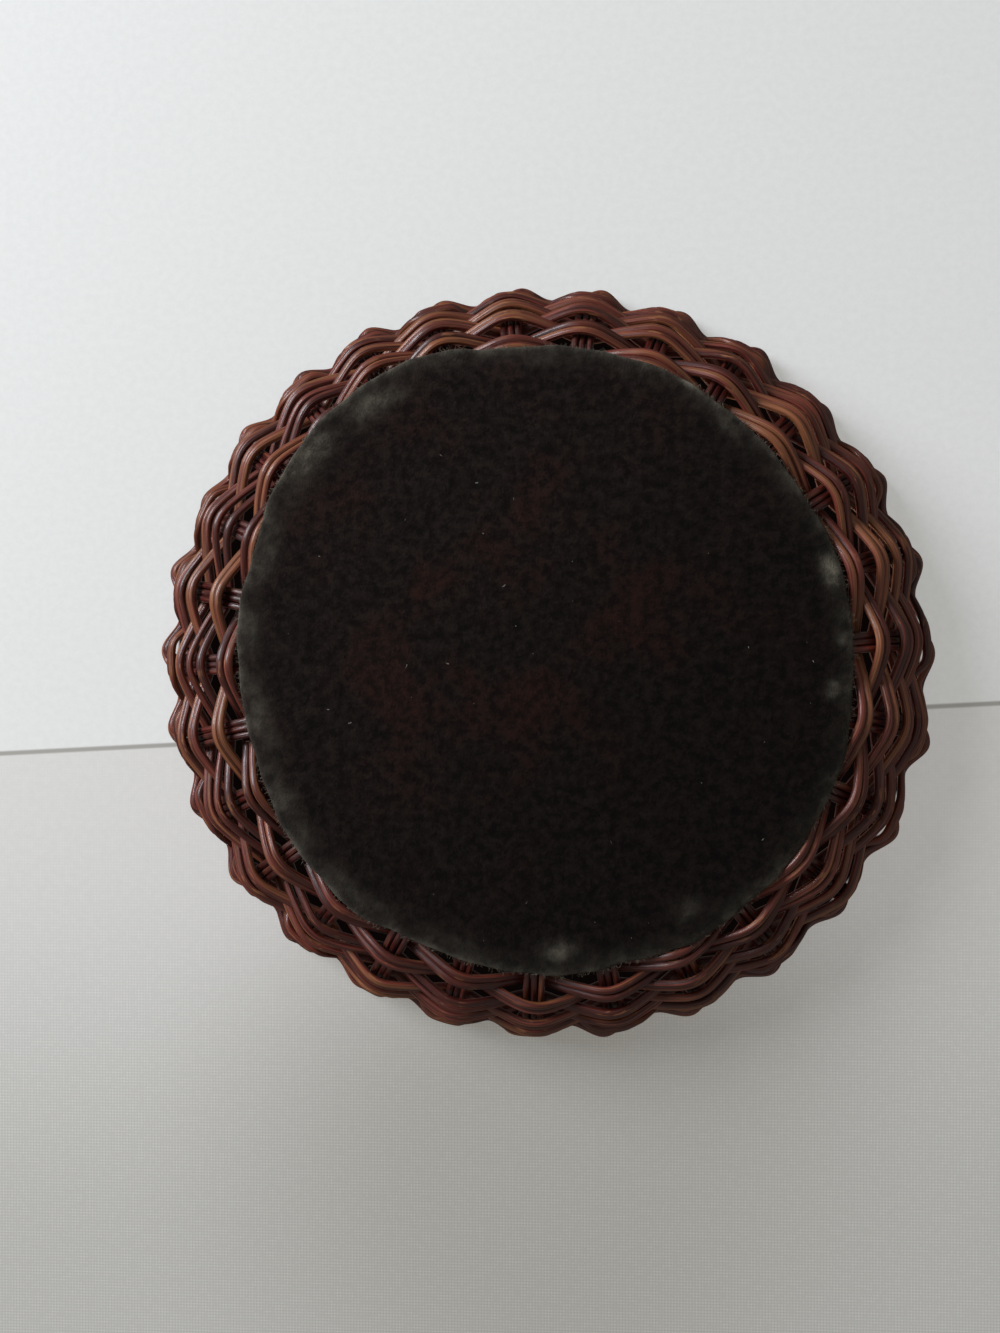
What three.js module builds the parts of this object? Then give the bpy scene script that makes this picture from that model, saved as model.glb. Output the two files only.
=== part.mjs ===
// A shallow round rattan bowl, standing upright on its felt pad.
// Flat stakes of split reed are glued under a wooden base board and turn up round its edge.
// Pairs of round canes are woven over one stake and under the next, and the stake ends
// are bent over at the rim: each runs outside the next stake and is tucked inside the one after.
// A short packing row fills the low part of the wall on one side and lifts the rows above it.
// Millimetres, +Z up, origin at the middle of the felt's underside.

import * as THREE from 'three';
import { mergeVertices } from 'three/addons/utils/BufferGeometryUtils.js';

// Fits
const CLEARANCE = 0.3; // air between two neighbouring pieces
const WEAVE_SLACK = 0.9; // how far a stiff cane bows out from the stake that it crosses
const BORDER_SLACK = 0.4; // how far a bent-over stake end stands off the stake that it passes

// Felt pad and base board
const FELT_THICKNESS = 2;
const FELT_LIP = 7.2; // length of the edge that turns up round the base
const BASE_RADIUS = 79; // where the stakes leave the flat of the base
const BOARD_THICKNESS = 5; // above the stakes
const BOARD_CHAMFER = 1;

// Stakes: three long reeds side by side, and two short ones nested inside them along the wall
const STAKE_PAIRS = 14; // an even number of stakes lets every woven row close
const REED_RADIUS = 1;
const REEDS_ACROSS = 3;
const STAKE_TUCK = 30; // length glued under the board
const WANDER = 4.1; // degrees that the hand-set stakes drift from an even spacing
const WANDER_PHASE = 105; // degrees
const FIRST_STAKE_ANGLE = 100.9; // degrees from +X

// Wall: a tight bend at the base that eases into a flatter curve
const BASE_BEND_RADIUS = 28;
const BASE_BEND_ANGLE = 50; // degrees from level
const WALL_RADIUS = 114;
const OVAL = 1.6; // by which the rim is wider one way and narrower the other
const OVAL_ANGLE = 10; // degrees from +X to the wide way

// Weave
const CANE_RADIUS = 1;
const ROW_COUNT = 6; // that go all the way round
const FIRST_ROW = 9.9; // along the wall from the end of the flat base
const ROW_GAP = 0.3; // air between the canes of neighbouring rows where they cross
const SEAM_GAP = 0.4; // between the two ends of a cane, which meet behind a stake
const SEAM_STEP = 11; // stakes between the seams of neighbouring canes
const PACKING_START = 26; // stake behind which the short packing row starts
const PACKING_SPANS = 14; // spaces between stakes that it runs
const PACKING_EASE = 3; // spaces past its ends in which the rows above sink back

// Border
const BEND_RADIUS = 4.2; // middle of a stake where it bends over at the rim
const LOOP_LEAN = 3.6; // how far the bend leans outward, which shows as a knob on the rim
const DIP = 2.3; // how far a stake end sinks inside the wall's middle between two stakes
const PASS_LEAD = 4; // how far ahead of a stake an end has settled beside the wall
const PASS_RUN_ON = 7; // how far it runs on outside, past the stake
const DIVE_LENGTH = 6.5; // in which it goes from the outside of the wall to the inside
const TAIL = 4; // what is left of it past the last stake

// Facets
const CANE_SIDES = 5;
const TURN_SIDES = 56; // round the felt and the board
const BEND_STEPS = 5;
const WALL_STEP = 9; // longest straight stretch of a stake on the upper wall
const RIM_BEND_STEPS = 3;
const LIP_STEPS = 4;

// Values worked out from these
const STAKE_COUNT = 2 * STAKE_PAIRS;
const STAKE_HALF_WIDTH = REED_RADIUS * REEDS_ACROSS;
const NEST_DEPTH = REED_RADIUS * (1 + Math.sqrt(3)); // inner face of the short reeds
const STAKE_EDGE = 0.7 * REED_RADIUS; // how far the round outer reeds ease the corners
const BASE_LEVEL = FELT_THICKNESS + CLEARANCE + REED_RADIUS; // middle of the flat stakes
const BEND_ANGLE = THREE.MathUtils.degToRad(BASE_BEND_ANGLE);
const BEND_LENGTH = BASE_BEND_RADIUS * BEND_ANGLE;
const BEND_CENTRE_LEVEL = BASE_LEVEL + BASE_BEND_RADIUS;
const CANE_PITCH = 2 * CANE_RADIUS + CLEARANCE;
const ROW_PITCH = 2 * CANE_PITCH + ROW_GAP; // where the packing row pushes the rows together
const WEAVE_OUT = REED_RADIUS + CANE_RADIUS + WEAVE_SLACK;
const WEAVE_IN = NEST_DEPTH + CANE_RADIUS + CLEARANCE;
const CREST_HALF_LENGTH = STAKE_HALF_WIDTH;
const WEAVE_TOP = FIRST_ROW + ROW_COUNT * ROW_PITCH + CANE_PITCH / 2 + CANE_RADIUS;
const PASS_LEVEL = WEAVE_TOP + CLEARANCE + STAKE_HALF_WIDTH;
const BORDER_RISE = STAKE_HALF_WIDTH - BEND_RADIUS + STAKE_HALF_WIDTH + 2 * CLEARANCE;
const RIM_BEND_START = PASS_LEVEL + BORDER_RISE;
const PASS_OFFSET = 2 * REED_RADIUS + BORDER_SLACK;
const TUCK_OFFSET = DIP + PASS_OFFSET; // a tucked end clears the dip of the stake before it
const NEST_START = FIRST_ROW - ROW_PITCH / 2;
const NEST_END = WEAVE_TOP;

const COLOURS = {
  felt: { color: 0x1b1513, roughness: 0.95, metalness: 0 },
  board: { color: 0x3c2119, roughness: 0.5, metalness: 0 },
  stake: { color: 0x51251c, roughness: 0.4, metalness: 0 },
  cane: { color: 0x5a3024, roughness: 0.35, metalness: 0 },
};

// A point of the wall's middle surface, at a length along it from the end of the flat base,
// with how steep the wall is there.
function wallAt(length) {
  if (length <= 0) {
    return { radius: BASE_RADIUS + length, height: BASE_LEVEL, slope: 0 };
  }
  const low = Math.min(length, BEND_LENGTH) / BASE_BEND_RADIUS;
  const slope = low + Math.max(length - BEND_LENGTH, 0) / WALL_RADIUS;
  const along = BASE_BEND_RADIUS * Math.sin(low) + WALL_RADIUS * (Math.sin(slope) - Math.sin(low));
  const up = BASE_BEND_RADIUS * (1 - Math.cos(low)) + WALL_RADIUS * (Math.cos(low) - Math.cos(slope));
  return { radius: BASE_RADIUS + along, height: BASE_LEVEL + up, slope };
}

// A place in space: an angle round the bowl, a length along the wall, an offset outward from it,
// and a further step straight along the wall's own slope there. The base is round, and the wall,
// woven by eye, turns slightly oval toward the rim.
function place(angle, length, outward, step = 0) {
  const { radius, height, slope } = wallAt(length);
  const share = Math.max(length - BEND_LENGTH, 0) / (RIM_BEND_START - BEND_LENGTH);
  const oval = OVAL * share * Math.cos(2 * (angle - THREE.MathUtils.degToRad(OVAL_ANGLE)));
  const r = radius + oval + outward * Math.sin(slope) + step * Math.cos(slope);
  const z = height - outward * Math.cos(slope) + step * Math.sin(slope);
  const centre = new THREE.Vector3(r * Math.cos(angle), r * Math.sin(angle), z);
  const normal = new THREE.Vector3(
    Math.sin(slope) * Math.cos(angle),
    Math.sin(slope) * Math.sin(angle),
    -Math.cos(slope),
  );
  return { centre, normal };
}

// The angle of a stake: evenly spaced, plus a slow drift once round the bowl.
function stakeAngle(index) {
  const even = (360 / STAKE_COUNT) * index;
  const drift = WANDER * Math.sin(THREE.MathUtils.degToRad(even - WANDER_PHASE));
  return THREE.MathUtils.degToRad(FIRST_STAKE_ANGLE + even + drift);
}

// A closed solid through a row of stations, each with a centre, the wall's normal and an outline
// given as pairs: across the strip and outward.
function loft(stations) {
  const sides = stations[0].outline.length;
  const points = [];
  stations.forEach((station, k) => {
    const before = stations[Math.max(k - 1, 0)].centre;
    const after = stations[Math.min(k + 1, stations.length - 1)].centre;
    const along = after.clone().sub(before).normalize();
    const out = station.normal.clone().addScaledVector(along, -station.normal.dot(along)).normalize();
    const across = along.clone().cross(out);
    for (const [side, rise] of station.outline) {
      points.push(station.centre.clone().addScaledVector(across, side).addScaledVector(out, rise));
    }
  });
  const faces = [];
  for (let k = 0; k + 1 < stations.length; k += 1) {
    for (let j = 0; j < sides; j += 1) {
      const a = k * sides + j;
      const b = k * sides + ((j + 1) % sides);
      faces.push(a, a + sides, b, b, a + sides, b + sides);
    }
  }
  const last = (stations.length - 1) * sides;
  for (let j = 1; j + 1 < sides; j += 1) {
    faces.push(0, j, j + 1);
    faces.push(last, last + j + 1, last + j);
  }
  const geometry = new THREE.BufferGeometry().setFromPoints(points);
  geometry.setIndex(faces);
  return geometry;
}

// A solid of revolution about Z, from pairs of radius and height that start and end on the axis.
function turned(profile) {
  const outline = profile.map(([radius, height]) => new THREE.Vector2(radius, height));
  const geometry = new THREE.LatheGeometry(outline, TURN_SIDES).rotateX(Math.PI / 2);
  geometry.deleteAttribute('normal');
  geometry.deleteAttribute('uv');
  return mergeVertices(geometry);
}

// Points of the base bend at a given radius from its centre, from one angle to another.
function bendArc(radius, from, to, steps) {
  const points = [];
  for (let k = 0; k <= steps; k += 1) {
    const angle = from + ((to - from) * k) / steps;
    points.push([
      BASE_RADIUS + radius * Math.sin(angle),
      BEND_CENTRE_LEVEL - radius * Math.cos(angle),
    ]);
  }
  return points;
}

// The felt is flat under the base, and its edge follows the stakes up round the bend.
function feltPad() {
  const inner = BASE_BEND_RADIUS + REED_RADIUS + CLEARANCE;
  const outer = inner + FELT_THICKNESS;
  const turn = FELT_LIP / outer;
  const under = bendArc(outer, 0, turn, LIP_STEPS);
  const over = bendArc(inner, turn, 0, LIP_STEPS);
  return turned([[0, 0], ...under, ...over, [0, FELT_THICKNESS]]);
}

// The board sits in the bend of the stakes, with a boss that reaches the felt between their ends.
function baseBoard() {
  const lowest = wallAt(FIRST_ROW);
  const caneRadius = lowest.radius
    - WEAVE_IN * Math.sin(lowest.slope)
    - (CANE_PITCH / 2) * Math.cos(lowest.slope);
  const edge = caneRadius - CANE_RADIUS - CLEARANCE;
  const seat = BASE_BEND_RADIUS - REED_RADIUS - CLEARANCE;
  const turn = Math.asin((edge - BASE_RADIUS) / seat);
  const boss = BASE_RADIUS - STAKE_TUCK - CLEARANCE;
  const underside = BASE_LEVEL + REED_RADIUS + CLEARANCE;
  const top = underside + BOARD_THICKNESS;
  return turned([
    [0, FELT_THICKNESS + CLEARANCE],
    [boss, FELT_THICKNESS + CLEARANCE],
    [boss, underside],
    ...bendArc(seat, 0, turn, LIP_STEPS),
    [edge, top - BOARD_CHAMFER],
    [edge - BOARD_CHAMFER, top],
    [0, top],
  ]);
}

// The outline of a stake, with its inner face at a given depth.
function stakeOutline(depth) {
  const flat = STAKE_HALF_WIDTH - STAKE_EDGE;
  return [
    [STAKE_HALF_WIDTH, 0],
    [flat, REED_RADIUS],
    [-flat, REED_RADIUS],
    [-STAKE_HALF_WIDTH, 0],
    [-flat, -depth],
    [flat, -depth],
  ];
}

// Lengths along the wall at which a stake has a station, up to the bend at the rim.
function stakeLengths() {
  const lengths = [-STAKE_TUCK];
  for (let k = 0; k <= BEND_STEPS; k += 1) {
    lengths.push((BEND_LENGTH * k) / BEND_STEPS);
  }
  const upper = Math.ceil((NEST_END - BEND_LENGTH) / WALL_STEP);
  for (let k = 1; k < upper; k += 1) {
    lengths.push(BEND_LENGTH + ((NEST_END - BEND_LENGTH) * k) / upper);
  }
  return lengths;
}

// One stake: flat under the board, up the wall, over at the rim, outside the next stake
// and inside the one after.
function stake(index) {
  const here = stakeAngle(index);
  const next = stakeAngle(index + 1);
  const after = stakeAngle(index + 2);
  const rimRadius = wallAt(RIM_BEND_START).radius;
  const turn = (distance) => distance / rimRadius;
  const thin = stakeOutline(REED_RADIUS);
  const nested = stakeOutline(NEST_DEPTH);
  const stations = [];
  const add = (angle, length, outward, outline) => {
    stations.push({ ...place(angle, length, outward), outline });
  };
  const nestStep = REED_RADIUS / 2;
  const ends = [
    [NEST_START, thin],
    [NEST_START + nestStep, nested],
    [NEST_END - nestStep, nested],
    [NEST_END, thin],
  ];
  const plain = stakeLengths()
    .filter((length) => ends.every(([end]) => Math.abs(length - end) > 2 * nestStep))
    .map((length) => [length, length > NEST_START && length < NEST_END ? nested : thin]);
  const rising = [...plain, ...ends].sort((a, b) => a[0] - b[0]);
  for (const [length, outline] of rising) {
    add(here, length, 0, outline);
  }
  for (let k = 0; k <= RIM_BEND_STEPS; k += 1) {
    const swing = ((Math.PI / 2) * k) / RIM_BEND_STEPS;
    const over = 1 - Math.cos(swing);
    const rise = BEND_RADIUS * Math.sin(swing);
    add(here + turn(BEND_RADIUS * over), RIM_BEND_START + rise, LOOP_LEAN * over, thin);
  }
  const diveEnd = PASS_RUN_ON + DIVE_LENGTH;
  add(here + turn(diveEnd), RIM_BEND_START + BEND_RADIUS, -DIP, thin);
  add(next - turn(PASS_LEAD), PASS_LEVEL, PASS_OFFSET, thin);
  add(next + turn(PASS_RUN_ON), PASS_LEVEL, PASS_OFFSET, thin);
  add(next + turn(diveEnd), PASS_LEVEL, -TUCK_OFFSET, thin);
  add(after - turn(PASS_LEAD), PASS_LEVEL, -PASS_OFFSET, thin);
  add(after + turn(TAIL), PASS_LEVEL, -PASS_OFFSET, thin);
  return loft(stations);
}

// A cane's round section.
function caneOutline() {
  const outline = [];
  for (let j = 0; j < CANE_SIDES; j += 1) {
    const angle = (2 * Math.PI * j) / CANE_SIDES;
    outline.push([CANE_RADIUS * Math.cos(angle), CANE_RADIUS * Math.sin(angle)]);
  }
  return outline;
}

// How far the packing row has pushed up the rows above it at a stake, from 0 to 1.
function packing(index) {
  const half = STAKE_COUNT / 2;
  const middle = PACKING_START + PACKING_SPANS / 2;
  const away = Math.abs(THREE.MathUtils.euclideanModulo(index - middle + half, STAKE_COUNT) - half);
  return THREE.MathUtils.clamp(1 - (away - PACKING_SPANS / 2) / PACKING_EASE, 0, 1);
}

// The length along the wall of a row that goes all the way round, at a stake. Above the packing row
// each row moves up by one place. Elsewhere the rows start at the base, where they lie closest, and
// spread toward the rim to end at the same place.
function rowLength(row, index) {
  const share = row / (ROW_COUNT - 1);
  const free = row + share * share;
  return FIRST_ROW + ROW_PITCH * THREE.MathUtils.lerp(free, row + 1, packing(index));
}

// One cane, in behind the stake where it starts, out over the next, and so on for a number of
// spaces. The last value says how far its ends stop short of the middle of the first and last stake.
function cane(lengthAt, upper, start, spans, short) {
  const outline = caneOutline();
  const step = (upper ? 0.5 : -0.5) * CANE_PITCH;
  const stations = [];
  const add = (index, side, outward) => {
    const length = lengthAt(index);
    const angle = stakeAngle(index) + side / wallAt(length).radius;
    stations.push({ ...place(angle, length, outward, step), outline });
  };
  add(start, short, -WEAVE_IN);
  add(start, CREST_HALF_LENGTH, -WEAVE_IN);
  for (let k = 1; k < spans; k += 1) {
    const outward = k % 2 === 1 ? WEAVE_OUT : -WEAVE_IN;
    add(start + k, -CREST_HALF_LENGTH, outward);
    add(start + k, CREST_HALF_LENGTH, outward);
  }
  add(start + spans, -CREST_HALF_LENGTH, -WEAVE_IN);
  add(start + spans, -short, -WEAVE_IN);
  return loft(stations);
}

// A cane that goes once round the bowl: its two ends meet behind the stake where it starts.
function ringCane(row, upper) {
  const seam = 2 * (SEAM_STEP * (2 * row + (upper ? 1 : 0))) + ((row + 1) % 2);
  return cane((index) => rowLength(row, index), upper, seam, STAKE_COUNT, SEAM_GAP / 2);
}

// A cane of the short packing row: its ends run out past the stakes that hold them.
function packingCane(upper) {
  return cane(() => FIRST_ROW, upper, PACKING_START, PACKING_SPANS, -CREST_HALF_LENGTH);
}

const bowl = new THREE.Group();

function addPiece(name, geometry, finish) {
  const mesh = new THREE.Mesh(geometry, new THREE.MeshStandardMaterial(finish));
  mesh.name = name;
  bowl.add(mesh);
}

addPiece('felt_pad', feltPad(), COLOURS.felt);
addPiece('base_board', baseBoard(), COLOURS.board);
for (let index = 0; index < STAKE_COUNT; index += 1) {
  const number = String(index + 1).padStart(2, '0');
  addPiece(`stake_${number}`, stake(index), COLOURS.stake);
}
for (let row = 0; row < ROW_COUNT; row += 1) {
  addPiece(`row_${row + 1}_lower_cane`, ringCane(row, false), COLOURS.cane);
  addPiece(`row_${row + 1}_upper_cane`, ringCane(row, true), COLOURS.cane);
}
addPiece('packing_lower_cane', packingCane(false), COLOURS.cane);
addPiece('packing_upper_cane', packingCane(true), COLOURS.cane);

export default bowl;
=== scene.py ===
# %% [markdown]
# # A woven rattan bowl
# The bowl is a basket maker's piece: flat stakes of thin reed rise from a round base, and pairs of
# round cane are woven over one stake and under the next. At the rim each stake bends over and is
# tucked away among its neighbours. A disc of felt is glued under the base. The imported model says
# where each piece sits, and this lesson gives each one its true strands, surface and wear.

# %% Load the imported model
import math
import random

import bpy
import numpy as np
from mathutils import Matrix, Vector


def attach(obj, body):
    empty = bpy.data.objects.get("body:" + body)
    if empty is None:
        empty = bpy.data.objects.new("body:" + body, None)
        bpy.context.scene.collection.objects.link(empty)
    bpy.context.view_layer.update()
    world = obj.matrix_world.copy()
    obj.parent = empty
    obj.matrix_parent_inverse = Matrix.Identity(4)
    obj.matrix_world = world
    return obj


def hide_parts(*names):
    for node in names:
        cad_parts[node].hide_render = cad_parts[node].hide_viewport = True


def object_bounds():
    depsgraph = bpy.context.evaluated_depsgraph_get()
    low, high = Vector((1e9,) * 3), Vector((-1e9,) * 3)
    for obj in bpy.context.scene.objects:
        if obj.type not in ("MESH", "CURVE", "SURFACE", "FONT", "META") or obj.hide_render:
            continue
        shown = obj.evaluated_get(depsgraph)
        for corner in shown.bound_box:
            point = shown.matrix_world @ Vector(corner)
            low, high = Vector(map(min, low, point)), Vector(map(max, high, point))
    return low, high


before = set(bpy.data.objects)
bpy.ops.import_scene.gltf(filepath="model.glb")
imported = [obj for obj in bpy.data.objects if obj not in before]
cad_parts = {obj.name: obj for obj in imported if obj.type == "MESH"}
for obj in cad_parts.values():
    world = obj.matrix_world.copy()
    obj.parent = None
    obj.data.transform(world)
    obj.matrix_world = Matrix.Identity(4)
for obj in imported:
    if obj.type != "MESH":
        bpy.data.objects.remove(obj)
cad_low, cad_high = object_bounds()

box = [round(1000 * side, 1) for side in cad_high - cad_low]
print("packed pieces:", len(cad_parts), "box in mm:", box)

# %% [markdown]
# ## The shape of the wall
# Stakes and canes lie on one curved surface: flat under the base, a tight bend round its edge, then
# a flatter curve up to the rim. Each strand could be drawn by hand, but then no two would fit. So one
# function turns a length along the wall into a radius, a height and a slope, and a second one places
# a point there at an angle round the bowl and an offset outward. The wall was woven by eye and is
# slightly oval at the rim. Lengths are in millimetres.

# %% The wall as a function
MM = 0.001
BASE_RADIUS = 79.0
BASE_LEVEL = 3.3
BASE_BEND = 28.0
BEND_LENGTH = BASE_BEND * math.radians(50)
WALL_CURVE = 114.0
RIM_BEND_START = 47.15
OVAL = 1.6
OVAL_ANGLE = math.radians(10)


def wall(length):
    length = np.asarray(length, float)
    low = np.clip(length, 0, BEND_LENGTH) / BASE_BEND
    slope = low + np.maximum(length - BEND_LENGTH, 0) / WALL_CURVE
    along = BASE_BEND * np.sin(low) + WALL_CURVE * (np.sin(slope) - np.sin(low))
    up = BASE_BEND * (1 - np.cos(low)) + WALL_CURVE * (np.cos(low) - np.cos(slope))
    return BASE_RADIUS + np.minimum(length, 0) + along, BASE_LEVEL + up, slope


def on_wall(angle, length, outward):
    radius, height, slope = wall(length)
    share = np.maximum(length - BEND_LENGTH, 0) / (RIM_BEND_START - BEND_LENGTH)
    oval = OVAL * share * np.cos(2 * (angle - OVAL_ANGLE))
    r = radius + oval + outward * np.sin(slope)
    z = height - outward * np.cos(slope)
    points = np.stack([r * np.cos(angle), r * np.sin(angle), z], axis=1)
    lean = np.sin(slope)
    normals = np.stack([lean * np.cos(angle), lean * np.sin(angle), -np.cos(slope)], axis=1)
    return points, normals


rim_radius, rim_height, rim_slope = (float(value) for value in wall(RIM_BEND_START))
print("wall at the rim: radius", round(rim_radius, 1), "mm, height", round(rim_height, 1), "mm, slope",
      round(math.degrees(rim_slope)), "degrees")

# %% [markdown]
# ## Where the stakes stand
# The stakes were set by hand, so they drift a few degrees from an even spacing as one goes round.
# A list of 28 angles would do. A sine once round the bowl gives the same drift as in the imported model
# with three numbers.

# %% Stake angles
STAKES = 28
FIRST_STAKE = 100.9
WANDER = 4.1
WANDER_PHASE = 105


def stake_angle(index):
    even = np.asarray(index, float) * 360 / STAKES
    return np.radians(FIRST_STAKE + even + WANDER * np.sin(np.radians(even - WANDER_PHASE)))


gaps = np.degrees(np.diff(stake_angle(np.arange(STAKES + 1))))
print("stake spacing from", round(gaps.min(), 1), "to", round(gaps.max(), 1), "degrees")

# %% [markdown]
# ## From a path to a strand
# A cane or reed is a round stick bent along a path. A curve object with a bevel would do, but the
# finish needs to know where it is along the stick, so the tube is built ring by ring. Each point
# keeps its lay: the distance along the stick and its place across it. Noise read in that space runs
# along the fibres and has no seam. Each point also keeps a tone for its stick and a rub, how far it
# stands out where hands and shelves wear the lacquer. The ends are domed, as cut and sanded ends are.

# %% Directions along a path
def soften(values, reach, closed=False):
    half = max(1, int(3 * reach))
    weights = np.exp(-0.5 * (np.arange(-half, half + 1) / reach) ** 2)
    if closed:
        wide = np.pad(values, half, mode="wrap")
    else:
        wide = np.pad(values, half, mode="reflect", reflect_type="odd")
    return np.convolve(wide, weights / weights.sum(), mode="valid")


def unit(vectors):
    return vectors / np.linalg.norm(vectors, axis=1, keepdims=True)


def directions(points, normals):
    along = unit(np.gradient(points, axis=0))
    outward = unit(normals - along * (normals * along).sum(axis=1, keepdims=True))
    return along, outward, np.cross(along, outward)


print("path helpers ready")

# %% One strand
# Each step of a domed end: how far past the end it lies and how wide it is, in radii
DOME = ((0.95, 0.3), (0.7, 0.72), (0.35, 0.94))


def hold_ends(values):
    return np.concatenate([[values[0]] * len(DOME), values, [values[-1]] * len(DOME)])


def strand(points, normals, radius, rub, sides, start, tone, flat=1.0):
    along = directions(points, normals)[0]
    tone = np.broadcast_to(tone, len(points))
    normals, rub, tone = (hold_ends(values) for values in (normals, rub, tone))
    behind = [points[0] - along[0] * radius[0] * reach for reach, size in DOME]
    ahead = [points[-1] + along[-1] * radius[-1] * reach for reach, size in reversed(DOME)]
    points = np.concatenate([behind, points, ahead])
    sizes = np.array([size for reach, size in DOME])
    radius = np.concatenate([radius[0] * sizes, radius, radius[-1] * sizes[::-1]])
    along, outward, across = directions(points, normals)
    turn = np.linspace(0, 2 * np.pi, sides, endpoint=False)
    side = radius[:, None] * np.cos(turn)
    rise = flat * radius[:, None] * np.sin(turn)
    vertices = points[:, None] + side[..., None] * across[:, None] + rise[..., None] * outward[:, None]
    distance = np.concatenate([[0], np.cumsum(np.linalg.norm(np.diff(points, axis=0), axis=1))])
    lay = np.stack([np.broadcast_to((distance + start)[:, None], side.shape), side, rise], axis=2)
    first = (np.arange(len(points) - 1) * sides)[:, None] + np.arange(sides)
    second = (np.arange(len(points) - 1) * sides)[:, None] + (np.arange(sides) + 1) % sides
    quads = np.stack([first, first + sides, second + sides, second], axis=2).reshape(-1, 4)
    last = (len(points) - 1) * sides
    caps = [list(range(sides)), list(range(last + sides - 1, last - 1, -1))]
    return {
        "vertices": vertices.reshape(-1, 3),
        "faces": quads.tolist() + caps,
        "lay": lay.reshape(-1, 3),
        "rub": np.repeat(rub, sides),
        "tone": np.repeat(tone, sides),
    }


print("a strand's end is domed in", len(DOME), "steps")

# %% From strands to a piece
def mesh_piece(name, vertices, faces, values):
    mesh = bpy.data.meshes.new(name)
    mesh.from_pydata((np.asarray(vertices) * MM).tolist(), [], faces)
    for key, data in values.items():
        data = np.asarray(data, np.float32)
        kind, field = ("FLOAT_VECTOR", "vector") if data.ndim == 2 else ("FLOAT", "value")
        mesh.attributes.new(key, kind, "POINT").data.foreach_set(field, data.ravel())
    mesh.shade_smooth()
    piece = bpy.data.objects.new(name, mesh)
    bpy.context.scene.collection.objects.link(piece)
    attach(piece, "root")
    return piece


def strand_piece(name, strands, node):
    faces = []
    count = 0
    for one in strands:
        faces += [[count + corner for corner in face] for face in one["faces"]]
        count += len(one["vertices"])
    vertices, lay, rub, tone = (np.concatenate([one[key] for one in strands])
                                for key in ("vertices", "lay", "rub", "tone"))
    piece = mesh_piece(name, vertices, faces, {"lay": lay * MM, "rub": rub, "tone": tone})
    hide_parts(node)
    return piece


print("piece helpers ready")

# %% [markdown]
# ## The outline of the felt
# The felt was cut by hand and glued on by eye. It overhangs the base on one side, where it hides the
# first woven row. Its reach is given at a few angles, joined by straight lines and given a small
# ripple. The woven rows need this outline too, because the first one is lifted where the felt lies
# under it.

# %% Reach of the felt round the bowl
CUT_ANGLES = (0, 15, 30, 45, 60, 75, 90, 105, 120, 135, 150, 165, 180, 195, 210, 217, 225, 240, 255, 270,
              285, 293, 300, 307, 314, 322, 331, 336, 342, 348, 354)
CUT_REACH = (88.3, 88.3, 87.3, 85.9, 85.4, 86.0, 84.7, 86.3, 86.9, 87.0, 87.5, 86.1, 86.9, 85.5, 85.8, 87.6,
             87.2, 86.3, 84.8, 86.1, 87.4, 87.6, 89.4, 90.9, 92.2, 92.4, 93.2, 92.7, 91.4, 89.6, 88.7)
SNUG_REACH = 86.2
FULL_OVERHANG = 4.0


def felt_reach(angle):
    clock = (np.degrees(np.asarray(angle, float)) - 90) % 360
    reach = np.interp(clock, CUT_ANGLES, CUT_REACH, period=360)
    ripple = 0.25 * np.sin(np.radians(17 * clock + 40)) + 0.15 * np.sin(np.radians(41 * clock))
    return reach + ripple


def overhang(angle):
    return np.clip((felt_reach(angle) - SNUG_REACH) / FULL_OVERHANG, 0, 1)


# %% [markdown]
# ## The woven rows
# Six rows of two canes run round the wall, each over one stake and under the next, and the row above
# does the opposite. On one side a short packing row fills the low part of the wall, so the rows above
# it lie closer together. Each row could have its own list of heights. One function of row and angle
# keeps them in step, also where the packing row ends.

# %% Where each row lies on the wall
ROWS = 6
FIRST_ROW = 9.9
ROW_PITCH = 4.9
CANE_PITCH = 2.4
PACKING_START = 26
PACKING_SPANS = 14
PACKING_EASE = 3
FELT_LIFT = 1.4


def packing_share(angle):
    numbers = np.arange(-STAKES, 4 * STAKES)
    number = np.interp(angle, stake_angle(numbers), numbers)
    away = np.abs((number - PACKING_START - PACKING_SPANS / 2 + STAKES / 2) % STAKES - STAKES / 2)
    return np.clip(1 - (away - PACKING_SPANS / 2) / PACKING_EASE, 0, 1)


def row_length(row, angle):
    free = row + (row / (ROWS - 1)) ** 2
    share = packing_share(angle)
    lifted = FELT_LIFT * overhang(angle) * (1 - row / (ROWS - 1))
    return FIRST_ROW + ROW_PITCH * (free + share * (row + 1 - free)) + lifted


def packing_length(angle):
    return FIRST_ROW + FELT_LIFT * overhang(angle)


round_the_bowl = np.radians(np.arange(0, 360, 30))
first_row = row_length(0, round_the_bowl)
print("first full row lies", first_row.min().round(1), "to", first_row.max().round(1), "mm up the wall")

# %% [markdown]
# ## Weaving a cane
# A plain sine wave looks knitted: a stiff cane lies flat on a stake, runs straight to the next and
# bends only near them. So the path starts as straight stretches with flat crests and is softened a
# little. Each cane has its own thickness and small slips, seeded so that they stay put. Points low
# on one side of the bowl get a darker tone and show less wear.

# %% Slips of the hand and the darker low side
DARK_SIDE_ANGLE = math.radians(272)


def slips(hand, size, count):
    return np.array([hand.uniform(-size, size) for number in range(count)])


def darker_low_side(angle, length):
    low = np.clip(1.25 - length / 32, 0.1, 0.8)
    return low * (0.5 + 0.5 * np.cos(angle - DARK_SIDE_ANGLE)) ** 3


print("heaviest stain at the first row:", round(float(darker_low_side(DARK_SIDE_ANGLE, FIRST_ROW)), 2))

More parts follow.
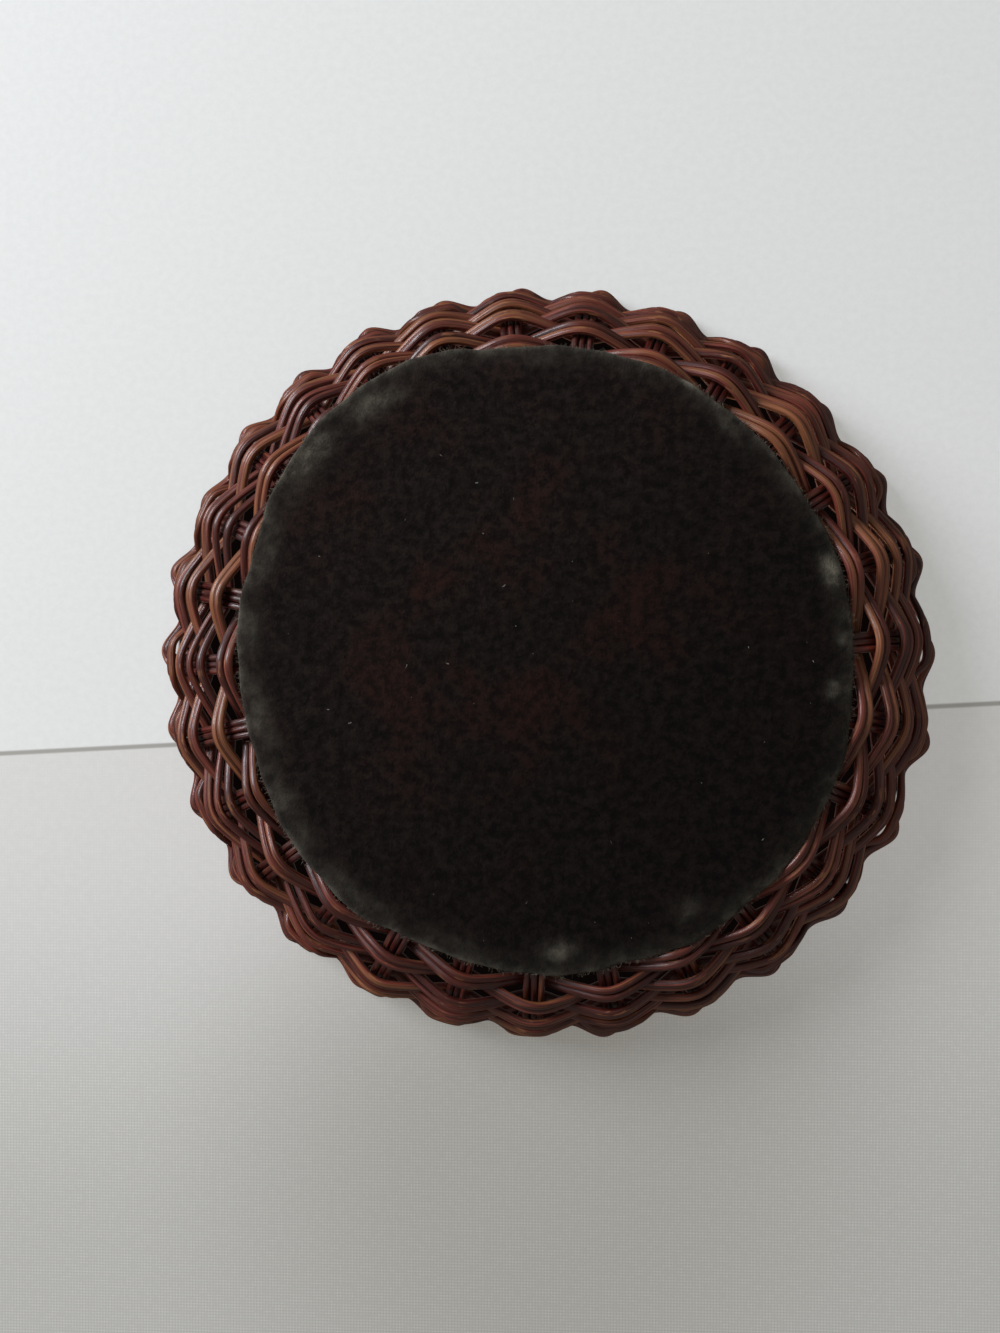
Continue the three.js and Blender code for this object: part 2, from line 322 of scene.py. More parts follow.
# %% One woven cane
CANE = 1.24
CANE_FLAT = 0.86
CANE_SIDES = 12
CREST_OUT = 3.1
CREST_IN = -4.3
CREST_LENGTH = 2.2
CREST_BEND = 1.9
CLIMB_BEND = 5.0
STEP = 1.1
EASE_SLIP = 0.4
CANE_SLIP = 0.3
FELT_PRESS = 0.8
FELT_PRESS_END = 14.0
RUB_START = 1.2
RUB_SPAN = 1.8
LAY_RANGE = 5000


def woven_cane(hand, length_at, upper, start, spans, row_slip, closed):
    stakes = stake_angle(start + np.arange(spans + 1))
    reach = float(wall(length_at(stakes))[0].mean())
    angle = np.linspace(stakes[0], stakes[-1], int((stakes[-1] - stakes[0]) * reach / STEP))
    crest = CREST_LENGTH / reach
    knots = np.stack([stakes - crest, stakes + crest], axis=1).ravel()
    side = np.where(np.arange(spans + 1) % 2, CREST_OUT, CREST_IN)
    ease = slips(hand, EASE_SLIP, spans + 1)
    rise = row_slip[(start + np.arange(spans + 1)) % STAKES] + slips(hand, CANE_SLIP, spans + 1)
    if closed:
        ease[-1], rise[-1] = ease[0], rise[0]
    wave = np.interp(angle, knots, np.repeat(side, 2)) + np.interp(angle, stakes, ease)
    climb = np.interp(angle, stakes, rise)
    last = len(angle) - 1 if closed else len(angle)
    wave[:last] = soften(wave[:last], CREST_BEND / STEP, closed)
    climb[:last] = soften(climb[:last], CLIMB_BEND / STEP, closed)
    pressed = FELT_PRESS * (length_at(angle) < FELT_PRESS_END) * overhang(angle)
    wave = wave - pressed * np.clip(wave / CREST_OUT, 0, 1)
    length = length_at(angle) + (upper - 0.5) * CANE_PITCH + climb
    keep = slice(2, -2) if closed else slice(None)
    points, normals = on_wall(angle[keep], length[keep], wave[keep])
    thick = CANE * hand.uniform(0.93, 1.08)
    swell = np.linspace(0, hand.uniform(20, 34), len(points)) + hand.uniform(0, 6)
    thick = thick * (1 + 0.05 * np.sin(swell))
    # Points low on one side of the bowl get a darker tone and less wear.
    dark_side = darker_low_side(angle[keep], length[keep])
    rub = np.clip((wave[keep] - RUB_START) / RUB_SPAN, 0, 1) * (1 - 0.5 * dark_side)
    return strand(points, normals, thick, rub, CANE_SIDES, hand.uniform(0, LAY_RANGE),
                  hand.random() - 0.8 * dark_side, CANE_FLAT)


print("a cane is", 2 * CANE, "mm wide and", round(2 * CANE * CANE_FLAT, 2), "mm deep")

# %% Weave all the rows
ROW_SLIP = 0.5
PACKING_SLIP = 0.4
SEAM_STEP = 22

canes = []
for row in range(ROWS):
    hand = random.Random(40 + row)
    row_slip = slips(hand, ROW_SLIP, STAKES)
    for upper in (0, 1):
        seam = SEAM_STEP * (2 * row + upper) + (row + 1) % 2
        one = woven_cane(hand, lambda angle: row_length(row, angle), upper, seam, STAKES, row_slip, True)
        name = f"row_{row + 1}_{'upper' if upper else 'lower'}"
        canes.append(strand_piece(name + "_strand", [one], name + "_cane"))
hand = random.Random(57)
row_slip = slips(hand, PACKING_SLIP, STAKES)
for upper in (0, 1):
    one = woven_cane(hand, packing_length, upper, PACKING_START, PACKING_SPANS, row_slip, False)
    name = "packing_upper" if upper else "packing_lower"
    canes.append(strand_piece(name + "_strand", [one], name + "_cane"))
print("woven canes:", len(canes), "with", sum(len(c.data.polygons) for c in canes), "faces")

# %% [markdown]
# ## The stakes and the border
# A stake is a flat band of three long reeds with two short ones nested behind it along the wall.
# At the rim the band bends over on edge, runs outside the next stake and dives to the inside before
# the one after: a trac border. One ribbon path is laid out first and softened, and then each reed
# runs beside it in its own lane, so the lanes stay together through every bend.

# %% The ribbon of a stake
STAKE_TUCK = 30.0
RIM_BEND = 4.2
PASS_LEVEL = 44.75
PASS_OUT = 2.4
PASS_LEAD = 4.0
LOOP_LEAN = 3.5
DIP = -2.3
TUCK = -4.7
RUN_ON = 7.0
DIVE_END = 13.5
REED_STEP = 0.8
RIBBON_BENDS = (1.3, 1.6, 2.1)


def stake_ribbon(index, hand):
    here, following, after = stake_angle(index + np.arange(3))
    rim = float(wall(RIM_BEND_START)[0])
    lean = LOOP_LEAN * hand.uniform(0.8, 1.2)
    shift = hand.uniform(-0.8, 0.8)
    path = [(here, length, 0) for length in np.arange(-STAKE_TUCK, RIM_BEND_START, 2)]
    for swing in np.linspace(0, np.pi / 2, 9):
        over = 1 - np.cos(swing)
        path.append((here + RIM_BEND * over / rim, RIM_BEND_START + RIM_BEND * np.sin(swing), lean * over))
    path.append((here + (DIVE_END + shift) / rim, RIM_BEND_START + RIM_BEND, DIP + hand.uniform(-0.3, 0.4)))
    path.append((following - PASS_LEAD / rim, PASS_LEVEL, PASS_OUT))
    path.append((following + RUN_ON / rim, PASS_LEVEL, PASS_OUT))
    path.append((following + DIVE_END / rim, PASS_LEVEL, TUCK))
    path.append((after - PASS_LEAD / rim, PASS_LEVEL, -PASS_OUT))
    path.append((after + PASS_LEAD / rim, PASS_LEVEL, -PASS_OUT))
    path = np.array(path)
    flat = path * [rim, 1, 1]
    distance = np.concatenate([[0], np.cumsum(np.linalg.norm(np.diff(flat, axis=0), axis=1))])
    even = np.arange(0, distance[-1], REED_STEP)
    return [soften(np.interp(even, distance, path[:, k]), bend / REED_STEP)
            for k, bend in enumerate(RIBBON_BENDS)]


print("the border bends over", RIM_BEND_START, "mm up the wall")

# %% Bend the stakes
REED = 1.0
REED_SIDES = 8
BORDER_START = RIM_BEND_START - 4
NEST_START = 8.5
NEST_END = 40.5
REED_STRAY = 0.14
REED_LIFT = 0.16
BORDER_RUB_START = -0.6
BORDER_RUB_SPAN = 2.4
WALL_RUB = 0.15
WALL_PAINTED_SHADE = -0.7

stakes_made = []
for index in range(STAKES):
    hand = random.Random(900 + index)
    angle, length, outward = stake_ribbon(index, hand)
    points, normals = on_wall(angle, length, outward)
    along, face, across = directions(points, normals)
    bent = np.arange(len(points)) > np.argmax(length > BORDER_START)
    rub = np.where(bent, np.clip((outward - BORDER_RUB_START) / BORDER_RUB_SPAN, 0, 1), WALL_RUB)
    ripple = np.linspace(0, 1, len(points))
    # Painted shade: reeds in the wall, behind the canes, get a darker tone.
    shade = np.where(bent, 0, WALL_PAINTED_SHADE)
    reeds = []
    for lane in (-1, 0, 1):
        stray = REED_STRAY * np.sin(2 * np.pi * (ripple * hand.uniform(2, 4) + hand.random()))
        lift = REED_LIFT * np.sin(2 * np.pi * (ripple * hand.uniform(2, 5) + hand.random()))
        line = points + across * (2 * REED * lane + stray)[:, None] + face * lift[:, None]
        thick = np.full(len(line), REED * hand.uniform(0.98, 1.1))
        reeds.append(strand(line, normals, thick, rub, REED_SIDES, hand.uniform(0, LAY_RANGE),
                            hand.random() + shade))
    nested = (np.arange(len(points)) < np.argmax(bent)) & (length > NEST_START) & (length < NEST_END)
    for lane in (-0.5, 0.5):
        line = points[nested] + across[nested] * (2 * REED * lane) - face[nested] * (math.sqrt(3) * REED)
        thick = np.full(len(line), REED * hand.uniform(0.96, 1.02))
        reeds.append(strand(line, normals[nested], thick, rub[nested], REED_SIDES,
                            hand.uniform(0, LAY_RANGE), hand.random() + WALL_PAINTED_SHADE))
    name = f"stake_{index + 1:02d}"
    stakes_made.append(strand_piece(name + "_reeds", reeds, name))
print("stakes:", len(stakes_made), "with", sum(len(s.data.polygons) for s in stakes_made), "faces")

# %% [markdown]
# ## The felt disc
# Felt is a soft sheet two millimetres thick. It lies flat under the base, and outside the glued part
# its edge curls up round the stakes, except where it overhangs and stays flat. A plain disc would show
# a machine-sharp rim, so the sheet is built as rings from the middle to the hand-cut outline, with a
# rounded edge that thins out. Each point keeps a value for wear and painted highlight: the edge scuffs
# first, in patches, and a soft pale band down one side of the curled edge is a painted highlight.

# %% Rings of points and the underside of the felt
FELT = 2.0
FELT_SEAT = 0.05
GLUED_REACH = 78.5
CURL_RADIUS = 31.3


def ring(r, z, angle):
    return np.stack([r * np.cos(angle), r * np.sin(angle), np.broadcast_to(z, angle.shape)], axis=1)


def ring_faces(count, turns):
    here = (np.arange(count - 1) * turns)[:, None] + np.arange(turns)
    beside = (np.arange(count - 1) * turns)[:, None] + (np.arange(turns) + 1) % turns
    faces = np.stack([beside, beside + turns, here + turns, here], axis=2).reshape(-1, 4).tolist()
    middle = count * turns
    top = (count - 1) * turns
    faces += [[middle, (k + 1) % turns, k] for k in range(turns)]
    faces += [[middle + 1, top + k, top + (k + 1) % turns] for k in range(turns)]
    return faces


def felt_under(r, angle):
    out = np.maximum(r - GLUED_REACH, 0)
    curl = (CURL_RADIUS - np.sqrt(CURL_RADIUS ** 2 - out ** 2)) * (1.05 - 0.97 * overhang(angle))
    lumps = np.sin(0.31 * r * np.cos(angle) + 1.3) * np.sin(0.27 * r * np.sin(angle) + 0.4)
    return FELT_SEAT + curl + 0.09 * (1 + lumps) * np.clip((r - 20) / 40, 0, 1)


print("the felt curls up from", GLUED_REACH, "mm outward")

# %% Cut and lay the felt
FELT_TURNS = 360
EDGE_ROUND = 0.7
# Each step of the rounded edge: how far out in millimetres and how high as a share of the thickness
EDGE_STEPS = ((0.42, 0.16), (0.66, 0.36), (0.7, 0.55), (0.6, 0.76), (0.35, 0.93))

felt_angle = np.linspace(0, 2 * np.pi, FELT_TURNS, endpoint=False)
edge = felt_reach(felt_angle)
shares = np.concatenate([np.linspace(0.02, 0.86, 34), np.linspace(0.875, 1, 14)])
under = shares[:, None] * (edge - EDGE_ROUND)
thinned = 1 - 0.3 * np.clip((shares - 0.93) / 0.07, 0, 1)
depth = (FELT - 0.5 * overhang(felt_angle)) * thinned[:, None]
bottom = felt_under(under, felt_angle)
rings = [(under[k], bottom[k]) for k in range(len(shares))]
rings += [(under[-1] + out, bottom[-1] + depth[-1] * rise) for out, rise in EDGE_STEPS]
rings += [(under[k], bottom[k] + depth[k]) for k in range(len(shares) - 1, -1, -1)]
points = [ring(r, z, felt_angle) for r, z in rings]
felt_points = np.concatenate(points + [[[0, 0, FELT_SEAT]], [[0, 0, FELT]]])
felt_faces = ring_faces(len(rings), FELT_TURNS)
print("felt laid in", len(rings), "rings")

# %% Wear and painted highlight on the felt
EDGE_WEAR_REACH = 8.5
# Each patch of wear or painted highlight: where it is round the edge in degrees, how far in, half length,
# half width, force
WORN_AND_LIT_PATCHES = ((27, 0.3, 5.5, 1.2, 1.0), (38, 3.5, 5, 2, 0.35), (72.5, 3, 4.6, 2.3, 1.0), (85, 3, 3, 2, 0.3),
        (95, 5.5, 2.2, 1.8, 0.6), (150, 9, 4, 3, 0.2), (177, 7, 4, 2.6, 0.55), (200, 4, 9, 3, 0.2),
        (219, 4, 10, 3.2, 0.22), (240, 4, 11, 3.4, 0.24), (259, 4, 10, 3.6, 0.3), (276, 3, 9, 3.2, 0.24),
        (292, 3, 8, 3, 0.36), (311, 4.5, 9, 3.4, 0.6), (327, 6, 8, 3.4, 0.42), (0, 3, 8, 2.5, 0.2))

spread = np.linalg.norm(felt_points[:, :2], axis=1)
bearing = np.arctan2(felt_points[:, 1], felt_points[:, 0])
from_edge = felt_reach(bearing) - spread
near_edge = np.clip(1 - from_edge / EDGE_WEAR_REACH, 0, 1)
wear_and_highlight = 0.22 * near_edge ** 2 + 0.4 * near_edge ** 12
# The long soft patches from 200 to 327 degrees are painted highlight on the curled edge; the others are
# worn spots.
for clock, inset, half_length, half_width, force in WORN_AND_LIT_PATCHES:
    along = spread * ((bearing - math.radians(90 + clock) + np.pi) % (2 * np.pi) - np.pi)
    across = from_edge - inset
    wear_and_highlight = np.maximum(wear_and_highlight, force * np.exp(-(along / half_length) ** 2 - (across / half_width) ** 2))
felt = mesh_piece("felt_disc", felt_points, felt_faces, {"wear_and_highlight": wear_and_highlight})
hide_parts("felt_pad")

# %% [markdown]
# ## Loose fibres
# A cut felt edge sheds: short hairs stand out all round it, and a few pale threads cling to its face.
# A hair system would not travel with the model, so each fibre is a very thin bent strand. They go
# with the felt.

# %% Fuzz on the edge and lint on the face
EDGE_HAIRS = 1700
FACE_THREADS = 34
LINT_REACH = 80
FIBRE_POINTS = 5
FIBRE_SIDES = 4


def fibre(hand, angle, r, height, heading, length, thick):
    share = np.linspace(0, 1, FIBRE_POINTS)
    bend = heading + hand.uniform(-1.2, 1.2) * share
    x = r * math.cos(angle) + length * np.cumsum(np.cos(bend)) / FIBRE_POINTS
    y = r * math.sin(angle) + length * np.cumsum(np.sin(bend)) / FIBRE_POINTS
    points = np.stack([x, y, height + length * hand.uniform(0, 0.4) * share], axis=1)
    downward = np.array([[0.0, 0.0, -1.0]] * FIBRE_POINTS)
    return strand(points, downward, np.full(FIBRE_POINTS, thick), np.zeros(FIBRE_POINTS), FIBRE_SIDES, 0,
                  hand.random())


hand = random.Random(7)
hairs = []
for number in range(EDGE_HAIRS):
    angle = hand.uniform(0, 2 * np.pi)
    r = float(felt_reach(angle)) - hand.uniform(0.2, 1.0)
    height = float(felt_under(r, angle)) + hand.uniform(0.15, 1.0)
    hairs.append(fibre(hand, angle, r, height, angle + hand.gauss(0, 0.9), hand.uniform(0.7, 2.1), 0.04))
fuzz = strand_piece("felt_edge_fuzz", hairs, "felt_pad")

threads = []
for number in range(FACE_THREADS):
    angle = hand.uniform(0, 2 * np.pi)
    r = LINT_REACH * math.sqrt(hand.random())
    height = float(felt_under(r, angle)) - 0.02
    heading = hand.uniform(0, 6.3)
    length = hand.uniform(0.3, 1.6)
    threads.append(fibre(hand, angle, r, height, heading, length, hand.uniform(0.03, 0.07)))
lint = strand_piece("felt_lint", threads, "felt_pad")
print("fibres:", len(hairs), "on the edge and", len(threads), "on the face")

# %% [markdown]
# ## The base board
# Inside the bowl the weave stands round a turned wooden board. Only its top shows. It is a solid of
# revolution with a softened edge, so its outline is given as radius and height and turned. The boss
# under it stays clear of the domed ends of the stakes.

# %% Turn the board
BOARD_TURNS = 192
BOARD_BOTTOM = 2.3
BOARD_TOP = 9.4
BOSS_RADIUS = 47.7
BOARD_PROFILE = ((BOSS_RADIUS, BOARD_BOTTOM), (BOSS_RADIUS, 4.5), (79, 4.6), (82, 4.85), (84.2, 5.4),
                 (84.7, 6.0), (84.8, 7.4), (84.7, 8.5), (84.2, 9.2), (83.4, 9.55), (82.2, 9.62),
                 (70, 9.5), (40, 9.42))

board_angle = np.linspace(0, 2 * np.pi, BOARD_TURNS, endpoint=False)
points = [ring(r, z, board_angle) for r, z in BOARD_PROFILE]
board_points = np.concatenate(points + [[[0, 0, BOARD_BOTTOM]], [[0, 0, BOARD_TOP]]])
board = mesh_piece("base_board_turned", board_points, ring_faces(len(BOARD_PROFILE), BOARD_TURNS), {})
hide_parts("base_board")
print("board:", len(board.data.polygons), "faces")

# %% [markdown]
# ## Finishes
# Colours are written as they look on a screen and turned into the linear values that shaders use.
# A few short helpers keep the node trees readable: one adds a node and sets its inputs, by value or
# by a link from another node, and the others name what a node is for.

# %% Helpers for node trees
def colour(r, g, b):
    def linear(c):
        c = c / 255
        return c / 12.92 if c <= 0.04045 else ((c + 0.055) / 1.055) ** 2.4
    return (linear(r), linear(g), linear(b), 1.0)


def fill(tree, socket, value):
    if isinstance(value, bpy.types.NodeSocket):
        tree.links.new(value, socket)
    else:
        socket.default_value = value


def add(tree, kind, settings=None, **inputs):
    node = tree.nodes.new(kind)
    for key, value in (settings or {}).items():
        setattr(node, key, value)
    for key, value in inputs.items():
        socket = node.inputs[int(key[1:])] if key[0] == "_" else node.inputs[key.replace("_", " ")]
        fill(tree, socket, value)
    return node


def finish(name):
    material = bpy.data.materials.new(name)
    material.use_nodes = True
    tree = material.node_tree
    tree.nodes.clear()
    return material, tree


def surface(tree, shader):
    out = add(tree, "ShaderNodeOutputMaterial")
    tree.links.new(shader, out.inputs[0])


print("white is", colour(255, 255, 255))

# %% Helpers for patterns
def on_object(tree):
    return add(tree, "ShaderNodeTexCoord").outputs["Object"]


def kept(tree, name, field="Fac"):
    return add(tree, "ShaderNodeAttribute", {"attribute_name": name}).outputs[field]


def noise(tree, vector, scale, detail=3.0, roughness=0.55):
    spread = add(tree, "ShaderNodeVectorMath", {"operation": "MULTIPLY"}, _0=vector, _1=scale)
    made = add(tree, "ShaderNodeTexNoise", Vector=spread.outputs[0], Scale=1.0, Detail=detail,
               Roughness=roughness)
    return made.outputs[0]


def ramp(tree, value, low, high, to_low=0.0, to_high=1.0):
    made = add(tree, "ShaderNodeMapRange", {"interpolation_type": "SMOOTHSTEP"}, Value=value,
               From_Min=low, From_Max=high, To_Min=to_low, To_Max=to_high)
    return made.outputs[0]


def maths(tree, kind, a, b=0.0):
    return add(tree, "ShaderNodeMath", {"operation": kind}, _0=a, _1=b).outputs[0]


def measure(tree, kind, a, b=(0, 0, 0)):
    return add(tree, "ShaderNodeVectorMath", {"operation": kind}, _0=a, _1=b).outputs["Value"]


def blend_colours(tree, share, a, b, kind="MIX"):
    mix = add(tree, "ShaderNodeMix", {"data_type": "RGBA", "blend_type": kind, "clamp_factor": True})
    for place, value in ((0, share), (6, a), (7, b)):
        fill(tree, mix.inputs[place], value)
    return mix.outputs[2]


def shaded(tree, base, value):
    grey = add(tree, "ShaderNodeCombineColor", _0=value, _1=value, _2=value).outputs[0]
    return blend_colours(tree, 1.0, base, grey, "MULTIPLY")


print("pattern helpers ready")

# %% [markdown]
# ## Stained rattan
# Rattan takes stain unevenly: some lengths go nearly black, some stay red and some amber, and the
# fibres show as thin streaks along the stick. Where a bend stands out, handling wears the stain back
# to gold. Canes and reeds share this look, so it is one node group, read in the lay of the strand,
# and each material gives it its own stain.

# %% Rattan stain as a node group
VALUE, VECTOR, COLOUR = "NodeSocketFloat", "NodeSocketVector", "NodeSocketColor"
STAIN_TAKES = {"Lay": VECTOR, "Tone": VALUE, "Rub": VALUE, "Dark": COLOUR, "Stain": COLOUR, "Gold": COLOUR}
STAIN_GIVES = {"Color": COLOUR, "Roughness": VALUE, "Height": VALUE}

stain = bpy.data.node_groups.new("rattan_stain", "ShaderNodeTree")
for name, kind in STAIN_TAKES.items():
    stain.interface.new_socket(name, in_out="INPUT", socket_type=kind)
for name, kind in STAIN_GIVES.items():
    stain.interface.new_socket(name, in_out="OUTPUT", socket_type=kind)
given = add(stain, "NodeGroupInput").outputs
streaks = noise(stain, given["Lay"], (60, 1300, 1300), 3)
drift = noise(stain, given["Lay"], (16, 620, 620), 2)
fibres = noise(stain, given["Lay"], (50, 2700, 2700), 2)
scuffs = noise(stain, given["Lay"], (160, 700, 700), 3)
uneven = maths(stain, "ADD", streaks, maths(stain, "MULTIPLY", given["Tone"], 0.24))
base = blend_colours(stain, ramp(stain, uneven, 0.44, 0.74), given["Dark"], given["Stain"])
amber = maths(stain, "ADD", drift, maths(stain, "MULTIPLY", given["Tone"], 0.22))
base = blend_colours(stain, ramp(stain, amber, 0.6, 0.77, 0, 0.62), base, given["Gold"])
bare = maths(stain, "MULTIPLY", given["Rub"], ramp(stain, scuffs, 0.57, 0.65, 0, 0.9))
base = blend_colours(stain, bare, base, given["Gold"])
base = shaded(stain, base, ramp(stain, fibres, 0.32, 0.66, 0.5, 1.18))
gloss = ramp(stain, scuffs, 0.3, 0.75, 0.36, 0.6)
height = maths(stain, "ADD", maths(stain, "MULTIPLY", streaks, 0.6), maths(stain, "MULTIPLY", fibres, 0.4))
out = add(stain, "NodeGroupOutput")
for name, socket in (("Color", base), ("Roughness", gloss), ("Height", height)):
    stain.links.new(socket, out.inputs[name])
print("rattan stain nodes:", len(stain.nodes))

# %% [markdown]
# ## Lacquered canes and reeds
# Over the stain lies a thin lacquer, which gives narrow bright lines along each stick. The roughness
# of the wood alone would make them broad, so a weak clear coat with a smooth surface lies on top. The
# thin reeds hold more stain than the canes, so their three colours are a little deeper.

# %% Cane and reed materials
def rattan(name, dark, stained, gold):
    material, tree = finish(name)
    look = add(tree, "ShaderNodeGroup", {"node_tree": stain}, Lay=kept(tree, "lay", "Vector"),
               Tone=kept(tree, "tone"), Rub=kept(tree, "rub"), Dark=dark, Stain=stained, Gold=gold).outputs
    bump = add(tree, "ShaderNodeBump", Strength=0.9, Distance=0.0005, Height=look["Height"])
    skin = add(tree, "ShaderNodeBsdfPrincipled", Base_Color=look["Color"], Roughness=look["Roughness"],
               Normal=bump.outputs[0], Specular_IOR_Level=0.4, Coat_Weight=0.2, Coat_Roughness=0.07)
    surface(tree, skin.outputs[0])
    return material


cane_finish = rattan("lacquered_cane", colour(64, 18, 10), colour(114, 52, 40), colour(146, 94, 56))
reed_finish = rattan("lacquered_reed", colour(58, 15, 9), colour(106, 43, 32), colour(134, 79, 48))
for piece in canes:
    piece.data.materials.append(cane_finish)
for piece in stakes_made:
    piece.data.materials.append(reed_finish)
print("rattan on", len(canes) + len(stakes_made), "pieces")

# %% [markdown]
# ## Felt
# Felt is matted wool with no weave: short fibres in every direction, redder near the middle, and
# greyer where the nap is rubbed off. Noises of different sizes give the mottling, a fine one gives
# the nap its bump, and the wear-and-highlight value of each point brings in the grey of worn spots and
# of the painted highlight on the curled edge. The side toward the window is painted lighter and the
# far side darker: painted light and shade.
# Sheen lifts it at a low angle, as loose fibres do.

# %% Felt material
RED_MIDDLE = (0.009, 0.016, 0.0)
PAINTED_LIGHT_SIDE = (0.7, 0.7, 0.0)

felt_finish, tree = finish("wool_felt")
place = on_object(tree)
blotch = noise(tree, place, (34, 34, 34), 4, 0.6)
matted = noise(tree, place, (330, 330, 330), 4, 0.7)
curls = add(tree, "ShaderNodeTexNoise", Vector=place, Scale=210.0, Detail=2.0, Distortion=2.2).outputs[0]
nap = noise(tree, place, (1500, 1500, 1500), 4, 0.75)
torn = noise(tree, place, (130, 130, 130), 5, 0.65)
base = blend_colours(tree, ramp(tree, matted, 0.34, 0.66), colour(14, 10, 9), colour(33, 27, 24))
base = blend_colours(tree, ramp(tree, curls, 0.42, 0.62, 0, 0.42), base, colour(15, 11, 10))
reddish = maths(tree, "MULTIPLY", ramp(tree, blotch, 0.45, 0.64), ramp(tree, matted, 0.42, 0.62, 0.2, 0.8))
from_middle = measure(tree, "DISTANCE", place, RED_MIDDLE)
reddish = maths(tree, "MULTIPLY", reddish, ramp(tree, from_middle, 0.025, 0.08, 1.0, 0.2))
base = blend_colours(tree, reddish, base, colour(45, 25, 20))
# Painted light and shade: lighter toward the window side, darker away from it.
toward_painted_light = measure(tree, "DOT_PRODUCT", place, PAINTED_LIGHT_SIDE)
base = shaded(tree, base, ramp(tree, toward_painted_light, -0.075, 0.075, 0.72, 1.2))
# Worn spots and the painted highlight on the curled edge both bring in the grey here.
patchy = maths(tree, "MULTIPLY", kept(tree, "wear_and_highlight"), ramp(tree, torn, 0.4, 0.68, 0.25, 1.0))
base = blend_colours(tree, patchy, base, colour(124, 119, 106))
bump = add(tree, "ShaderNodeBump", Strength=0.8, Distance=0.0006, Height=maths(tree, "ADD", nap, matted))
skin = add(tree, "ShaderNodeBsdfPrincipled", Base_Color=base, Roughness=0.95, Normal=bump.outputs[0],
           Sheen_Weight=0.03, Sheen_Roughness=0.5, Specular_IOR_Level=0.04)
surface(tree, skin.outputs[0])
felt.data.materials.append(felt_finish)
print("felt nodes:", len(tree.nodes))

# %% Fibre materials
def fibre_finish(name, dull, pale):
    material, tree = finish(name)
    speckle = noise(tree, on_object(tree), (900, 900, 900), 2)
    tint = blend_colours(tree, ramp(tree, speckle, 0.35, 0.65), dull, pale)
    skin = add(tree, "ShaderNodeBsdfPrincipled", Base_Color=tint, Roughness=0.9, Specular_IOR_Level=0.1)
    surface(tree, skin.outputs[0])
    return material


fuzz.data.materials.append(fibre_finish("wool_fuzz", colour(62, 55, 48), colour(124, 116, 103)))
lint.data.materials.append(fibre_finish("pale_thread", colour(120, 116, 110), colour(214, 211, 204)))
print("fibres finished:", fuzz.data.materials[0].name, "and", lint.data.materials[0].name)

# %% [markdown]
# ## Stained wood
# The board is plain timber under the same red-brown stain. Grain is noise stretched along one
# direction. It colours the wood and roughens the lacquer a little, and the edge of the board, tucked
# in among the stakes, is painted dark as shade.

# %% Board material
board_finish, tree = finish("stained_board")
place = on_object(tree)
grain = noise(tree, place, (12, 210, 210), 5, 0.6)
pores = noise(tree, place, (60, 1800, 1800), 3, 0.6)
base = blend_colours(tree, ramp(tree, grain, 0.35, 0.68), colour(44, 19, 15), colour(88, 44, 32))
base = blend_colours(tree, ramp(tree, pores, 0.6, 0.75, 0, 0.6), base, colour(28, 12, 10))
from_middle = measure(tree, "LENGTH", place)
# Painted shade: the board's edge, in among the stakes, is darkened.
base = blend_colours(tree, ramp(tree, from_middle, 0.0815, 0.084), base, colour(16, 9, 8))
bump = add(tree, "ShaderNodeBump", Strength=0.3, Distance=0.0003, Height=maths(tree, "ADD", grain, pores))
gloss = ramp(tree, grain, 0.3, 0.7, 0.34, 0.5)
skin = add(tree, "ShaderNodeBsdfPrincipled", Base_Color=base, Roughness=gloss, Normal=bump.outputs[0],
           Specular_IOR_Level=0.25, Coat_Weight=0.08, Coat_Roughness=0.3)
surface(tree, skin.outputs[0])
board.data.materials.append(board_finish)
print("board nodes:", len(tree.nodes))

# %% [markdown]
# ## Table and backdrop
# The camera looks at the underside of the bowl, so a solid table would hide it. The table under the
# felt shows only from above, and a pale backdrop at the rim shows only from below. Both take the
# shadow of the bowl, softened by a little glow as in a bright room, and stay out of its light. From
# here on, places are in metres.

# %% A plane that shows from one side
STAGE_SIZE = 3.0
STAGE_GLOW = 0.95


def one_sided(name, height, facing_up, paint, glow):
    mesh = bpy.data.meshes.new(name)
    half = STAGE_SIZE / 2
    corners = [(-half, -half, height), (half, -half, height), (half, half, height), (-half, half, height)]
    mesh.from_pydata(corners, [], [[0, 1, 2, 3] if facing_up else [3, 2, 1, 0]])
    plane = bpy.data.objects.new(name, mesh)
    bpy.context.scene.collection.objects.link(plane)
    for ray in ("diffuse", "glossy", "transmission", "volume_scatter", "shadow"):
        setattr(plane, "visible_" + ray, False)
    material, tree = finish(name + "_paint")
    tint = paint(tree)
    matt = add(tree, "ShaderNodeBsdfDiffuse", Color=tint)
    lit = add(tree, "ShaderNodeEmission", Color=tint, Strength=STAGE_GLOW)
    painted = add(tree, "ShaderNodeMixShader", _0=glow, _1=matt.outputs[0], _2=lit.outputs[0])
    clear = add(tree, "ShaderNodeBsdfTransparent")
    back = add(tree, "ShaderNodeNewGeometry").outputs["Backfacing"]
    away = measure(tree, "LENGTH", on_object(tree))
    hidden = maths(tree, "MAXIMUM", back, ramp(tree, away, 0.3 * STAGE_SIZE, 0.5 * STAGE_SIZE))
    mix = add(tree, "ShaderNodeMixShader", _0=hidden, _1=painted.outputs[0], _2=clear.outputs[0])
    surface(tree, mix.outputs[0])
    mesh.materials.append(material)
    return plane


def table_paint(tree):
    return colour(226, 225, 221)


table = one_sided("table", -0.0003, True, table_paint, 0.2)
print("table placed at", round(1000 * table.data.vertices[0].co.z, 1), "mm")

